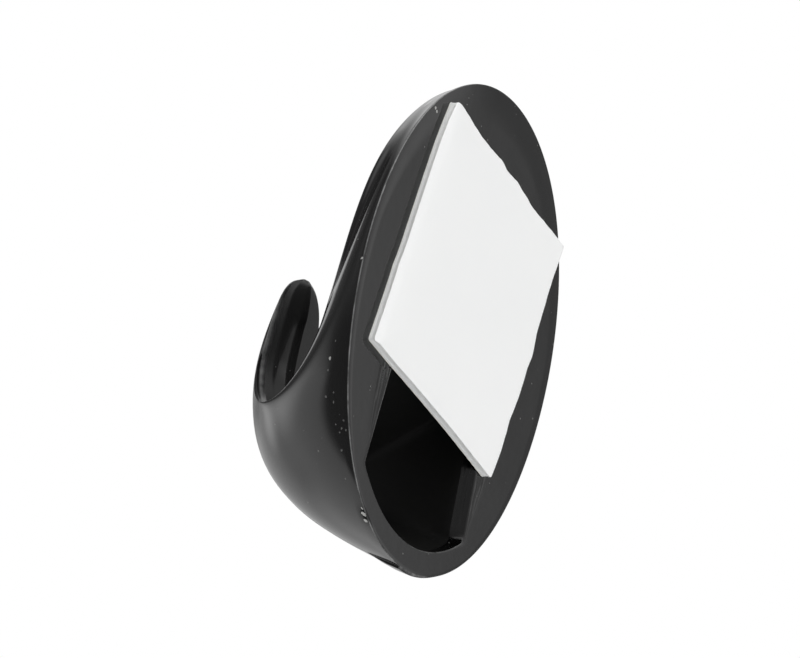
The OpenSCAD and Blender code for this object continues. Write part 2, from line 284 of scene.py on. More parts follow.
# Steps of the hook's mesh; they crowd together at the seam, where the two halves of the mould met
NEAR_SEAM = np.array([0.0007, 0.0014, 0.0022, 0.0035, 0.0055])
us = np.unique(np.concatenate(
    [np.linspace(0, 1, HALF_STEPS + 1), NEAR_SEAM, 1 - NEAR_SEAM]).round(7))
HALF = len(us) - 1
LOOP = 2 * HALF


def hollow_and_back():
    """Rings from the end of the hollow over its lead-in, its mouth and the back face to the rim."""
    at = mouth(us)
    along = np.gradient(at, us, axis=0)
    along[0], along[-1] = np.array([1, 0, 0]), np.array([-1, 0, 0])
    out = unit(np.stack([-along[:, 2], 0 * us, along[:, 0]], -1))
    out *= np.sign((out * (at + TO_MID)).sum(-1, keepdims=True))
    at_side = eased(np.abs(out[:, 0]), SIDE_FACING)
    edge = rim(us)
    inner_edge = edge - unit(edge) * RIM_ROUND
    on_back = at + out * MOUTH_ROUND
    width = np.linalg.norm(inner_edge - on_back, axis=-1)
    # The side walls of the hollow lean in at its mouth
    inward = -LEAD_IN * at_side[:, None] * out
    for _ in range(3):
        inward[1:-1] = 0.5 * inward[1:-1] + 0.25 * (inward[:-2] + inward[2:])
    deep = LEAD_DEPTH / POCKET_DEPTH
    corner_z = at[np.argmax(at[:, 0]), 2]
    wavy = at_side * eased(at[:, 2] - corner_z, WAVE_START)
    lead_end = at + inward + LEAD_DEPTH * FORWARD
    inward_more = lead_end - pocket(us, deep)
    rows = []
    for i in range(HOLLOW_ROWS - 1, -1, -1):
        t = deep + (1 - deep) * np.sin(np.pi / 2 * i / HOLLOW_ROWS)
        rows.append(pocket(us, t) + inward_more * ((1 - t) / (1 - deep)) ** 2)
    in_mouth = mix(at, lead_end, MOUTH_ROUND / LEAD_DEPTH)
    for i in range(1, LEAD_ROWS + 1):
        turns = WAVE_TURNS * i / LEAD_ROWS + WAVE_BEND * np.sin(WAVE_RATE * at[:, 2])
        wave = WAVE_HEIGHT * np.sin(2 * np.pi * turns) * np.sin(np.pi * i / LEAD_ROWS)
        rows.append(mix(lead_end, in_mouth, i / LEAD_ROWS) + (wavy * wave)[:, None] * out)
    # Beside the hollow the thick walls sank as they cooled, and left ripples that fan out
    # from its lower corners
    widest = np.minimum(SUNK_W, SUNK_SHARE * width)
    sunk_w = np.clip(SUNK_FAN * (at[:, 2] - corner_z), SUNK_LEAST, widest)
    sunk = at_side * sunk_w / SUNK_W
    bend = sum(size * np.sin(rate * at[:, 2]) for size, rate in RIPPLE_BENDS)

    def dip(share):
        ripple = sum(height * np.sin(2 * np.pi * (turns * share + way * bend) + start)
                     for height, turns, way, start in RIPPLES)
        ripple = ripple * eased(share, RIPPLE_START) * (1 - eased(share, RIPPLE_END))
        return (sunk * (SUNK_DEPTH * (1 - share) ** 2 + ripple))[:, None] * FORWARD

    rows += arc(in_mouth, at, on_back + dip(0 * us), MOUTH_ROWS)
    for i in range(1, SUNK_ROWS + 1):
        share = i / SUNK_ROWS
        row = mix(on_back, inner_edge, (sunk_w / width * share)[:, None])
        rows.append(row + dip(share + 0 * us))
    for i in range(1, BACK_ROWS + 1):
        rows.append(mix(on_back, inner_edge, mix(sunk_w / width, 1, i / BACK_ROWS)[:, None]))
    turn = skin(us, RIM_ROUND / (3 * lead(us)))
    return rows + arc(inner_edge, edge, turn, RIM_ROWS)


def outside_and_edge():
    """Rings from the rim up the outside and over the crest, and where the inside starts across."""
    crest = on_loop(crest_poles, us)
    radius = np.minimum(EDGE_ROUND, EDGE_SHARE * crest[:, 0])
    first = RIM_ROUND / (3 * lead(us))
    last = 1 - radius / (3 * np.linalg.norm(on_loop(way_poles, us), axis=-1))
    rows = [skin(us, mix(first, last, i / SKIN_ROWS)) for i in range(1, SKIN_ROWS + 1)]
    has_width = crest[:, 0] > 0
    start = np.where(has_width, 1 - radius / np.where(has_width, crest[:, 0], 1), 1)
    return rows + arc(rows[-1], crest, face(us, start), EDGE_ROWS), start


def hook_mesh():
    """Points and faces of the hook, with masks of its kinds of surface."""
    outer, start = outside_and_edge()
    back = hollow_and_back()
    rings = np.array([both_sides(r) for r in back + outer])
    count = len(rings)
    apex = count * LOOP
    # Rows across the inside of the hook; the last few before the mid-plane lie close to the seam
    width = np.maximum(on_loop(crest_poles, us)[:, 0], 1e-6)
    close = np.minimum(SEAM_NEAR / width, SEAM_NEAR_SHARE * start)
    shares = [mix(start, close, k / FACE_ROWS) for k in range(FACE_ROWS + 1)]
    shares += [close * s for s in SEAM_ROWS]
    across = np.array(shares + [-s for s in shares[-2::-1]])
    steps = len(across) - 1
    inner = np.array([face(us, a) for a in across])[1:steps, 1:HALF].transpose(1, 0, 2)
    points = np.vstack([
        rings.reshape(-1, 3), [[0, POCKET_DEPTH, -APEX_DROP]], inner.reshape(-1, 3)])
    # Numbers of the inside's points; its two edges are the last ring's points
    places = np.arange(HALF + 1)
    number = np.zeros((HALF + 1, steps + 1), int)
    number[:, 0] = apex - LOOP + places
    number[:, steps] = apex - LOOP + (LOOP - places) % LOOP
    number[1:HALF, 1:steps] = np.arange(apex + 1, len(points)).reshape(HALF - 1, steps - 1)
    faces = []
    for j in range(LOOP):
        n = (j + 1) % LOOP
        faces.append((apex, n, j))
        for r in range(0, apex - LOOP, LOOP):
            faces.append((r + j, r + n, r + LOOP + n, r + LOOP + j))
    for k in range(steps):
        faces.append((number[0, 0], number[1, k], number[1, k + 1]))
        for i in range(1, HALF - 1):
            faces.append((number[i, k], number[i + 1, k], number[i + 1, k + 1], number[i, k + 1]))
        faces.append((number[HALF - 1, k], number[HALF, 0], number[HALF - 1, k + 1]))

    shell, hollow, wear_and_highlight, satin = np.zeros((4, len(points)))

    def set_wear_and_highlight(first, row_shares, along=1):
        for i, share in enumerate(row_shares, first):
            wear_and_highlight[i * LOOP:(i + 1) * LOOP] = share * along

    at_mouth, at_rim = HOLLOW_ROWS + LEAD_ROWS, len(back) - RIM_ROWS
    shell[at_rim * LOOP:] = 1
    shell[apex] = 0
    hollow[:HOLLOW_ROWS * LOOP] = 1
    hollow[apex] = 1
    # The edges of the mouth and the rim are worn and carry a painted highlight, which is weaker on
    # the far side of the mouth
    set_wear_and_highlight(at_mouth, MOUTH_WEAR_AND_HIGHLIGHT)
    set_wear_and_highlight(at_rim, RIM_WEAR_AND_HIGHLIGHT)
    on_mouth = slice(at_mouth * LOOP, (at_mouth + MOUTH_ROWS) * LOOP)
    wear_and_highlight[on_mouth] *= 1 - FAR_MOUTH_LESS * eased(-points[on_mouth, 0], FAR_MOUTH)
    inside = eased(us, SATIN_START)
    satin[number[1:HALF, 1:steps]] = inside[1:HALF, None]
    # The crest is worn and carries a painted highlight from the trough to the tongue's tip
    crest_wear_and_highlight = eased(us, WEAR_AND_HIGHLIGHT_START) * (1 - WEAR_AND_HIGHLIGHT_LESS * eased(us, WEAR_AND_HIGHLIGHT_END))
    set_wear_and_highlight(count - len(CREST_WEAR_AND_HIGHLIGHT), CREST_WEAR_AND_HIGHLIGHT, np.concatenate([crest_wear_and_highlight, crest_wear_and_highlight[-2:0:-1]]))
    for k, share in enumerate(INSIDE_WEAR_AND_HIGHLIGHT, 1):
        for row in (number[1:HALF, k], number[1:HALF, steps - k]):
            wear_and_highlight[row] = share * (crest_wear_and_highlight * inside)[1:HALF]
    masks = {"outside": shell, "hollow": hollow, "wear_and_highlight": wear_and_highlight, "satin": satin}
    return points, [f[::-1] for f in faces], masks


def moulding():
    """The hook, with its hump, its seam and its chip, and its masks as attributes."""
    points, faces, masks = hook_mesh()
    x, f, z = points.T
    hump = eased(f, HUMP_FORWARD) * eased(z, HUMP_UP)
    hump = hump * eased(-x, HUMP_START) * (1 - eased(-x, HUMP_END))
    points[:, 2] += TIP_HUMP * hump
    made = new_object("hook_moulding", placed(points), faces)
    normals = np.zeros(len(points) * 3, np.float32)
    made.data.vertices.foreach_get("normal", normals)
    normals = normals.reshape(-1, 3)
    heel = (1 - eased(f, HEEL_FORWARD)) * eased(-z, HEEL_DOWN)
    proud = SEAM_STEP * heel * eased(-x, STEP_START) * (1 - eased(-x, STEP_END))
    ridge = SEAM_HEIGHT * mix(SEAM_FAINT, 1, eased(f, SEAM_CLEAR)) * np.exp(-(x / SEAM_W) ** 2)
    lift = masks["outside"] * (1 - eased(normals[:, 1], TO_WALL)) * (proud + ridge)
    from_chip = np.linalg.norm(points - np.array(CHIP_AT), axis=-1)
    chip = CHIP_DEPTH * np.exp(-(from_chip / CHIP_W) ** 2) * masks["wear_and_highlight"]
    moved = placed(points) + normals * ((lift - chip) * MM)[:, None]
    made.data.vertices.foreach_set("co", moved.astype(np.float32).ravel())
    made.data.update()
    for name in ("hollow", "wear_and_highlight", "satin"):
        mask = made.data.attributes.new(name, "FLOAT", "POINT")
        mask.data.foreach_set("value", masks[name].astype(np.float32))
    return made


hook = moulding()


# Tape: how far each hand-cut edge lies outside a true square, at places along it in millimetres
# from its middle
CUT_EDGES = (
    ((-15, 0.30), (-11, 0.27), (-7, 0.30), (-5.6, 0.34), (-4.6, 0.26), (0, 0.22), (6, 0.24),
     (10, 0.2), (13, 0.0), (15, -0.2)),
    ((-15, 0.45), (-13.5, 0.5), (-12.5, 0.42), (-10.5, 0.2), (-8.5, 0.04), (-6.5, 0.04),
     (-4.5, 0.12), (-2.5, 0.24), (-1.5, 0.02), (-0.5, -0.02), (0.5, 0.06), (1.5, 0.18),
     (2.5, 0.02), (4.5, -0.14), (5.5, -0.3), (6.5, -0.36), (8.5, -0.28), (11.5, -0.18),
     (15, -0.1)),
    ((-15, -0.1), (-9, -0.22), (-6.5, -0.06), (-3.5, 0.12), (-2.4, 0.36), (-1.5, 0.62),
     (0.5, 0.5), (3.5, 0.62), (5.5, 0.54), (7.5, 0.34), (9, 0.47), (11.5, 0.58), (14, 0.42),
     (15, 0.35)),
    ((-15, -0.1), (-4, -0.15), (0, -0.08), (6, 0.06), (10, 0.21), (15, 0.26)),
)
# The knife's fine waves: how strong they are on each edge, and the length and size of each
EDGE_WAVES, KNIFE_WAVES = (0.4, 1.0, 1.0, 0.35), ((2.3, 0.022), (1.1, 0.02), (0.6, 0.012))
EDGE_STEPS, WAVE_SEED, FOAM_SEED = 150, 5, 11
# The knife rolled one edge over: share of the height that is lost at the edge, and width
ROLL_DROP, ROLL_W = 0.28, 0.9
# Rings of each face, as shares of the outline
FACE_RINGS = (0.04, 0.35, 0.68, 0.9, 0.97, 0.99)
# The foam's cut side: rings, inset, how far it is hollowed and how rough it is
FOAM_RINGS, FOAM_INSET, FOAM_HOLLOWED, FOAM_ROUGH = 9, 0.03, 0.24, 0.014


def through(places, s):
    """A smooth line through the given places."""
    at, height = np.array(places).T
    k = np.clip(np.searchsorted(at, s) - 1, 0, len(at) - 2)
    slope = np.gradient(height, at)
    w = at[k + 1] - at[k]
    t = (s - at[k]) / w
    return ((1 + 2 * t) * (1 - t) ** 2 * height[k] + t * (1 - t) ** 2 * w * slope[k]
            + t * t * (3 - 2 * t) * height[k + 1] - t * t * (1 - t) * w * slope[k + 1])


def softened(loop):
    return 0.5 * loop + 0.25 * (np.roll(loop, 1, 0) + np.roll(loop, -1, 0))


def tape_outline(inset):
    """Points round the tape, edge by edge, with a knife's fine waves on each edge."""
    rng = np.random.default_rng(WAVE_SEED)
    h = PAD_W / 2
    loop = []
    for i, places in enumerate(CUT_EDGES):
        turn = np.pi / 2 * i
        out = np.array([np.cos(turn), np.sin(turn)])
        way = np.array([-out[1], out[0]])
        before, after = CUT_EDGES[i - 1][-1][1], CUT_EDGES[(i + 1) % 4][0][1]
        s = np.linspace(-h - before, h + after, EDGE_STEPS, endpoint=False)
        off = through(places, np.clip(s, -h, h))
        from_corner = np.minimum(1, (h - np.abs(s)) / 2).clip(0)
        for length, size in KNIFE_WAVES:
            wave = np.sin(2 * np.pi * s / length + rng.uniform(0, 6.28))
            off += EDGE_WAVES[i] * size * wave * from_corner
        loop.append(way * s[:, None] + out * (h + off - inset)[:, None])
    loop = np.vstack(loop)
    for _ in range(3):
        loop = softened(loop)
    return loop


def tape_point(local, depth):
    """A point of the tape at a height over the back face, in the frame's metres."""
    to_edge = np.clip(1 - (PAD_W / 2 - local[..., 0]) / ROLL_W, 0, 1)
    rolled = 1 - ROLL_DROP * to_edge ** 2
    t = np.radians(PAD_TURN)
    x = local[..., 0] * np.cos(t) - local[..., 1] * np.sin(t)
    z = local[..., 0] * np.sin(t) + local[..., 1] * np.cos(t) + PAD_RISE
    return np.stack([x, BACK_Y + depth * rolled, z], -1) * MM


def tape_layer(name, low, high, outlines):
    """A closed layer between two heights; outlines are its rings from the low face to the high."""
    flat = [(outlines[0] * s, low) for s in FACE_RINGS]
    flat += zip(outlines, np.linspace(low, high, len(outlines)))
    flat += [(outlines[-1] * s, high) for s in FACE_RINGS[::-1]]
    rings = [tape_point(outline, np.full(len(outline), level)) for outline, level in flat]
    middles = [tape_point(np.zeros((1, 2)), np.array([level])) for level in (low, high)]
    points = np.vstack(rings + middles)
    n, last = len(outlines[0]), len(rings) - 1
    faces = []
    for j in range(n):
        k = (j + 1) % n
        faces.append((len(points) - 2, k, j))
        for r in range(last):
            faces.append((r * n + j, r * n + k, (r + 1) * n + k, (r + 1) * n + j))
        faces.append((last * n + j, last * n + k, len(points) - 1))
    return new_object(name, points, [f[::-1] for f in faces])


def foam_outlines():
    """Rings of the foam's cut side, hollowed a little and rough."""
    rng = np.random.default_rng(FOAM_SEED)
    outlines = []
    for level in np.linspace(0, 1, FOAM_RINGS):
        outline = tape_outline(FOAM_INSET + FOAM_HOLLOWED * level * (1 - level))
        rough = softened(rng.normal(0, FOAM_ROUGH, len(outline)))
        outlines.append(outline * (1 + 2 * rough / PAD_W)[:, None])
    return outlines


foam_low, foam_high = FILM_T, FILM_T + FOAM_T
liner_low = foam_high + FILM_T
hook_film = tape_layer(
    "tape_film_hook_side", 0, FILM_T, [tape_outline(inset) for inset in (0.0, 0.02)])
foam = tape_layer("tape_foam", foam_low, foam_high, foam_outlines())
wall_film = tape_layer(
    "tape_film_wall_side", foam_high, liner_low, [tape_outline(inset) for inset in (0.03, 0.01)])
liner = tape_layer(
    "tape_liner", liner_low, liner_low + LINER_T,
    [tape_outline(inset) for inset in (-0.01, 0.0, 0.03)])


# Marks on the hook: where each lies and how large it is, in millimetres, and how strong they are
MARKS = (
    (19.7, -3.9, -11.8, 0.17), (22.2, -1.3, -1.0, 0.12), (10.1, -1.4, -25.4, 0.2),
    (9.3, -1.5, -25.8, 0.3), (8.4, -1.6, -26.2, 0.22), (14.9, -1.1, 19.8, 0.14),
    (14.5, -1.1, 19.6, 0.13), (12.2, -1.1, 22.3, 0.1))
FAINT_MARKS = (
    (20.39, -3.24, -9.97, 0.08), (19.17, -4.1, -13.01, 0.09), (18.51, -3.11, -15.26, 0.08),
    (17.99, -4.3, -15.58, 0.08), (17.52, -2.33, -17.38, 0.09), (17.27, -1.82, -17.96, 0.09),
    (16.71, -2.17, -18.68, 0.095), (16.37, -2.5, -19.03, 0.09), (16.68, -1.63, -18.88, 0.08),
    (15.11, -2.5, -20.63, 0.09), (18.0, -3.13, -16.22, 0.07), (16.77, -2.99, -18.29, 0.07))
MARK_STRENGTH, FAINT_STRENGTH, MARK_RAGGED = 1.0, 0.22, 0.12
# Dust in cells: cells per metre and the share of empty ones; then the size of a speck
DUST_CELLS, DUST_EMPTY, DUST_SIZE = 420, 0.93, 0.055
FINE_CELLS, FINE_EMPTY, FINE_SIZE, FINE_STRENGTH = 1500, 0.78, 0.19, 0.3
# The noise values between which a patch of fine dust starts
FINE_PATCH_LOW, FINE_PATCH_HIGH = 0.42, 0.56
# The foam's cells per metre, and the distance from a cell's middle at which its pit ends
FOAM_CELLS, FOAM_PIT = 6500, 0.7
# Colours
BLACK, DEEP_BLACK = (0.0034, 0.0034, 0.0035), (0.0016, 0.0016, 0.0017)
# The hollow's colour, with its weak shine below, is painted shade: a flat dark tone in the recess
# in place of its reflections
SATIN_BLACK, HOLLOW_SHADE_BLACK = (0.010, 0.010, 0.010), (0.009, 0.009, 0.0087)
# The grey of the worn edges is partly wear and partly a painted highlight along them
WEAR_AND_HIGHLIGHT_GREY, DUST_GREY = (0.2, 0.2, 0.2), (0.34, 0.34, 0.33)
FOAM_SHADE, FOAM_WHITE = (0.80, 0.81, 0.80), (0.90, 0.905, 0.90)
FILM_SHADE, FILM_WHITE = (0.82, 0.82, 0.77), (0.90, 0.90, 0.86)
PAPER_SHADE, PAPER_WHITE = (0.835, 0.845, 0.845), (0.875, 0.875, 0.87)
FLOOR_SHADE, FLOOR_WHITE = (0.90, 0.90, 0.90), (0.93, 0.93, 0.93)
# The wear and its painted highlight are patchy: the noise values between which they grow, and their
# least strength
PATCHY_LOW, PATCHY_HIGH, PATCHY_LEAST = 0.35, 0.65, 0.1
# How rough the plastic is, and how much more where it is satin, hollow, worn with a painted
# highlight, or dusty
GLOSS_LOW, GLOSS_HIGH, MORE_ROUGH = 0.09, 0.13, (0.08, 0.4, 0.1, 0.7)
FILM_ROUGH, PAPER_ROUGH = (0.22, 0.4), (0.42, 0.55)
# The hollow's weak shine is painted shade that dims the recess's reflections
SHINE, HOLLOW_SHADE_SHINE, PLASTIC_IOR = 0.5, 0.1, 1.5
MATT = 0.9
# The middle of a noise's values, which is stretched to the range asked for
NOISE_LOW, NOISE_HIGH = 0.3, 0.7


def node(tree, kind, **values):
    made = tree.nodes.new(kind)
    for key, value in values.items():
        setattr(made, key, value)
    return made


def new_material(name):
    """A material with its node tree, its shader and the place on the object."""
    material = bpy.data.materials.new(name)
    material.use_nodes = True
    tree = material.node_tree
    here = node(tree, "ShaderNodeTexCoord").outputs["Object"]
    return material, tree, tree.nodes["Principled BSDF"], here


def noise(tree, vector, scale, detail, rough):
    made = node(tree, "ShaderNodeTexNoise")
    made.inputs["Scale"].default_value = scale
    made.inputs["Detail"].default_value = detail
    made.inputs["Roughness"].default_value = rough
    tree.links.new(vector, made.inputs["Vector"])
    return made.outputs["Fac"]


def cells(tree, scale, vector):
    """Cells round scattered points: the distance from the point, and a chance value per cell."""
    made = node(tree, "ShaderNodeTexVoronoi", feature="F1")
    made.inputs["Scale"].default_value = scale
    tree.links.new(vector, made.inputs["Vector"])
    parts = node(tree, "ShaderNodeSeparateColor")
    tree.links.new(made.outputs["Color"], parts.inputs["Color"])
    return made.outputs["Distance"], parts.outputs["Red"]


def ranged(tree, value, from_low, from_high, low, high, smooth=False):
    made = node(tree, "ShaderNodeMapRange")
    made.interpolation_type = "SMOOTHSTEP" if smooth else "LINEAR"
    for key, number in (
            ("From Min", from_low), ("From Max", from_high), ("To Min", low), ("To Max", high)):
        made.inputs[key].default_value = number
    tree.links.new(value, made.inputs["Value"])
    return made.outputs["Result"]


def maths(tree, what, a, b=None):
    made = node(tree, "ShaderNodeMath", operation=what)
    for socket, value in zip(made.inputs, (a, b)):
        if isinstance(value, (int, float)):
            socket.default_value = value
        elif value is not None:
            tree.links.new(value, socket)
    return made.outputs[0]


def bump(tree, height, strength, distance, normal=None):
    made = node(tree, "ShaderNodeBump")
    made.inputs["Strength"].default_value = strength
    made.inputs["Distance"].default_value = distance
    tree.links.new(height, made.inputs["Height"])
    if normal is not None:
        tree.links.new(normal, made.inputs["Normal"])
    return made.outputs["Normal"]


def blend_colour(tree, share, a, b):
    made = node(tree, "ShaderNodeMix", data_type="RGBA")
    sockets = [s for s in made.inputs if s.type == "RGBA"]
    for socket, value in zip(sockets, (a, b)):
        if hasattr(value, "links"):
            tree.links.new(value, socket)
        else:
            socket.default_value = (*value, 1)
    tree.links.new(share, made.inputs["Factor"])
    return [s for s in made.outputs if s.type == "RGBA"][0]


def dust(tree, here):
    """Where pale specks and marks lie: a small speck in a few of many cells, and placed marks."""
    distance, chance = cells(tree, DUST_CELLS, here)
    size = ranged(tree, chance, DUST_EMPTY, 1.0, 0.0, DUST_SIZE)
    speck = maths(tree, "LESS_THAN", distance, size)
    distance, chance = cells(tree, FINE_CELLS, here)
    patches = noise(tree, here, scale=130, detail=2, rough=0.5)
    patches = ranged(tree, patches, FINE_PATCH_LOW, FINE_PATCH_HIGH, 0.0, FINE_SIZE)
    size = maths(tree, "MULTIPLY", ranged(tree, chance, FINE_EMPTY, 1.0, 0.0, 1.0), patches)
    faint = maths(tree, "MULTIPLY", maths(tree, "LESS_THAN", distance, size), FINE_STRENGTH)
    speck = maths(tree, "MAXIMUM", speck, faint)
    ragged = noise(tree, here, scale=2400, detail=2, rough=0.6)
    ragged = ranged(tree, ragged, NOISE_LOW, NOISE_HIGH, -MARK_RAGGED * MM, MARK_RAGGED * MM)
    for marks, strength in ((MARKS, MARK_STRENGTH), (FAINT_MARKS, FAINT_STRENGTH)):
        for x, y, z, radius in marks:
            made = node(tree, "ShaderNodeVectorMath", operation="DISTANCE")
            tree.links.new(here, made.inputs[0])
            made.inputs[1].default_value = (x * MM, y * MM, z * MM)
            away = maths(tree, "ADD", made.outputs["Value"], ragged)
            mark = maths(tree, "LESS_THAN", away, radius * MM)
            speck = maths(tree, "MAXIMUM", speck, maths(tree, "MULTIPLY", mark, strength))
    return speck


def gloss_black():
    material, tree, shader, here = new_material("gloss_black_plastic")
    hollow, wear_and_highlight, satin = (
        node(tree, "ShaderNodeAttribute", attribute_name=name).outputs["Fac"]
        for name in ("hollow", "wear_and_highlight", "satin"))
    speck = maths(tree, "MULTIPLY", dust(tree, here), maths(tree, "SUBTRACT", 1.0, hollow))
    cloud = noise(tree, here, scale=260, detail=4, rough=0.6)
    colour = blend_colour(tree, cloud, DEEP_BLACK, BLACK)
    colour = blend_colour(tree, satin, colour, SATIN_BLACK)
    # The hollow's flat dark tone is painted shade in the recess
    colour = blend_colour(tree, hollow, colour, HOLLOW_SHADE_BLACK)
    patchy = noise(tree, here, scale=420, detail=4, rough=0.65)
    patchy = ranged(tree, patchy, PATCHY_LOW, PATCHY_HIGH, PATCHY_LEAST, 1.0)
    # Worn edges turn grey in patches: partly wear, partly a painted highlight
    colour = blend_colour(tree, maths(tree, "MULTIPLY", wear_and_highlight, patchy), colour, WEAR_AND_HIGHLIGHT_GREY)
    colour = blend_colour(tree, speck, colour, DUST_GREY)
    tree.links.new(colour, shader.inputs["Base Color"])
    smear = noise(tree, here, scale=190, detail=5, rough=0.62)
    smear = ranged(tree, smear, NOISE_LOW, NOISE_HIGH, GLOSS_LOW, GLOSS_HIGH)
    for mask, extra in zip((satin, hollow, wear_and_highlight, speck), MORE_ROUGH):
        smear = maths(tree, "ADD", smear, maths(tree, "MULTIPLY", mask, extra))
    tree.links.new(smear, shader.inputs["Roughness"])
    peel = noise(tree, here, scale=900, detail=2, rough=0.5)
    peel = bump(tree, peel, strength=0.10, distance=0.00002)
    grain = noise(tree, here, scale=5200, detail=2, rough=0.5)
    grain = bump(tree, grain, strength=0.06, distance=0.000006, normal=peel)
    raised = bump(tree, speck, strength=0.5, distance=0.00003, normal=grain)
    tree.links.new(raised, shader.inputs["Normal"])
    # Weak shine in the hollow: painted shade that dims its reflections
    shine = ranged(tree, hollow, 0, 1, SHINE, HOLLOW_SHADE_SHINE)
    tree.links.new(shine, shader.inputs["Specular IOR Level"])
    shader.inputs["IOR"].default_value = PLASTIC_IOR
    return material


def white_foam():
    material, tree, shader, here = new_material("white_closed_cell_foam")
    distance, _ = cells(tree, FOAM_CELLS, here)
    pit = ranged(tree, distance, 0.0, FOAM_PIT, 0.0, 1.0)
    wide = noise(tree, here, scale=1100, detail=3, rough=0.6)
    # The foam is darker at the middle of each cell's pit, which is painted shade in the pits, and
    # in random patches of tone
    colour = blend_colour(tree, maths(tree, "MULTIPLY", pit, wide), FOAM_SHADE, FOAM_WHITE)
    tree.links.new(colour, shader.inputs["Base Color"])
    shader.inputs["Roughness"].default_value = MATT
    rough = bump(tree, pit, strength=0.6, distance=0.00004)
    rough = bump(tree, wide, strength=0.5, distance=0.00006, normal=rough)
    tree.links.new(rough, shader.inputs["Normal"])
    return material


def adhesive():
    material, tree, shader, here = new_material("acrylic_adhesive_film")
    wide = noise(tree, here, scale=700, detail=4, rough=0.6)
    colour = blend_colour(tree, wide, FILM_SHADE, FILM_WHITE)
    tree.links.new(colour, shader.inputs["Base Color"])
    gloss = noise(tree, here, scale=1500, detail=3, rough=0.5)
    gloss = ranged(tree, gloss, NOISE_LOW, NOISE_HIGH, *FILM_ROUGH)
    tree.links.new(gloss, shader.inputs["Roughness"])
    waves = bump(tree, wide, strength=0.3, distance=0.00003)
    tree.links.new(waves, shader.inputs["Normal"])
    return material


def paper():
    material, tree, shader, here = new_material("white_release_paper")
    fibres = noise(tree, here, scale=2600, detail=5, rough=0.65)
    cloud = noise(tree, here, scale=90, detail=3, rough=0.5)
    shade = maths(tree, "MULTIPLY", maths(tree, "ADD", fibres, cloud), 0.5)
    colour = blend_colour(tree, shade, PAPER_SHADE, PAPER_WHITE)
    tree.links.new(colour, shader.inputs["Base Color"])
    gloss = ranged(tree, cloud, NOISE_LOW, NOISE_HIGH, *PAPER_ROUGH)
    tree.links.new(gloss, shader.inputs["Roughness"])
    fine = bump(tree, fibres, strength=0.12, distance=0.00001)
    waves = noise(tree, here, scale=260, detail=2, rough=0.5)
    waves = bump(tree, waves, strength=0.12, distance=0.00003, normal=fine)
    tree.links.new(waves, shader.inputs["Normal"])
    return material


film_material = adhesive()
for piece, material, body, node_name, slot in (
        (hook, gloss_black(), "hook", "hook_body", "black_plastic"),
        (hook_film, film_material, "hook", "hook_side_adhesive", "adhesive_film"),
        (foam, white_foam(), "hook", "foam_core", "white_foam"),
        (wall_film, film_material, "hook", "wall_side_adhesive", "adhesive_film"),
        (liner, paper(), "liner", "release_liner", "liner_paper")):
    piece.data.materials.append(material)
    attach(piece, body)
    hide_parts(node_name)

# Camera at the photograph's viewing angle: right, up and back of the picture in the frame's axes,
# and how far the picture's middle lies from the back's, in metres
RIGHT = Vector((-0.4464, 0.8673, 0.2206))
UP = Vector((0.3745, -0.0428, 0.9262))
BACK = Vector((0.8127, 0.4960, -0.3057))
AIM_LEFT, AIM_DOWN, CAMERA_AWAY = 0.00619, 0.00026, 1.0
camera = bpy.data.objects.new("camera", bpy.data.cameras.new("camera"))
bpy.context.scene.collection.objects.link(camera)
camera.data.lens, camera.data.sensor_width, camera.data.clip_end = 409.0, 36.0, 20
place = Matrix((RIGHT, UP, BACK)).transposed().to_4x4()
aim = Vector((0, BACK_Y * MM, 0)) - RIGHT * AIM_LEFT - UP * AIM_DOWN
place.translation = aim + BACK * CAMERA_AWAY
camera.matrix_world = place
bpy.context.scene.camera = camera

# Pale floor, far enough below to leave the view from under the hook free
FLOOR_HALF, FLOOR_Z = 4, -1.3
floor_corners = [(x * FLOOR_HALF, y * FLOOR_HALF, FLOOR_Z)
                 for x, y in ((-1, -1), (1, -1), (1, 1), (-1, 1))]
floor = new_object("floor", floor_corners, [(0, 1, 2, 3)], False)
floor_material, tree, shader, here = new_material("pale_floor")
floor_cloud = noise(tree, here, scale=3, detail=3, rough=0.5)
floor_colour = blend_colour(tree, floor_cloud, FLOOR_SHADE, FLOOR_WHITE)
tree.links.new(floor_colour, shader.inputs["Base Color"])
shader.inputs["Roughness"].default_value = MATT
floor.data.materials.append(floor_material)
floor.visible_glossy = False

# Patches of light in the studio: degrees to the right and up from straight behind the object, how
# much heights count, the distances over which it fades, and its brightness inside and outside
POOL, SPILL = (-55, -2, 1, 0, 15, 0.75, 0), (-40, -5, 1, 0, 11, 0.8, 0)
BACKDROP, BACKDROP_EDGE = (-13, 7, 2, 8, 15, 0.75, 0), (-12, 1, 2.2, 12, 22, 0.35, 0)
SOFT_BOX = (-18, 42, 1, 6, 16, 2.4, 1.5)
# Lower edge of the wide light overhead: its tilt, middle height and limit, behind and far left
OVER_TILT, OVER_MIDDLE, OVER_LIMIT, OVER_SOFT = -0.73, 8.5, 52.0, (-9, 10)
LEFT_TILT, LEFT_MIDDLE, LEFT_LIMIT = 0.5, 100.0, 36.0
# Where the sweep ends on the right, and the heights over which the light's edge rises there
RIGHT_END, RIGHT_EDGE = (5, 25), (-10, 32)
# Brightness of the dark room, sideways, and of its upper left part
ROOM_SPAN, ROOM_GLOW = (-58, -46), (0.21, 0.13)
UPPER_SPAN, UPPER_LEFT, UPPER_GLOW = (14, 24), (-66, -58), 0.12
# Bow of the sweep's upper edge: where it is highest, how it falls off, its height and least height
BOW_AT, BOW_FALL, BOW_HEIGHT, BOW_LEAST, BOW_SOFT = -58.0, -0.012, 11.5, -2.0, (-4, 4)
# Brightness of the sweep: full on the left, less inwards, and less so far down
SWEEP_START, SWEEP_GLOW, INWARDS = (-88, -80), 0.93, (-64, -42)
INWARDS_LESS, FAR_DOWN, FAR_DOWN_MORE = 0.31, (-32, -24), 0.27
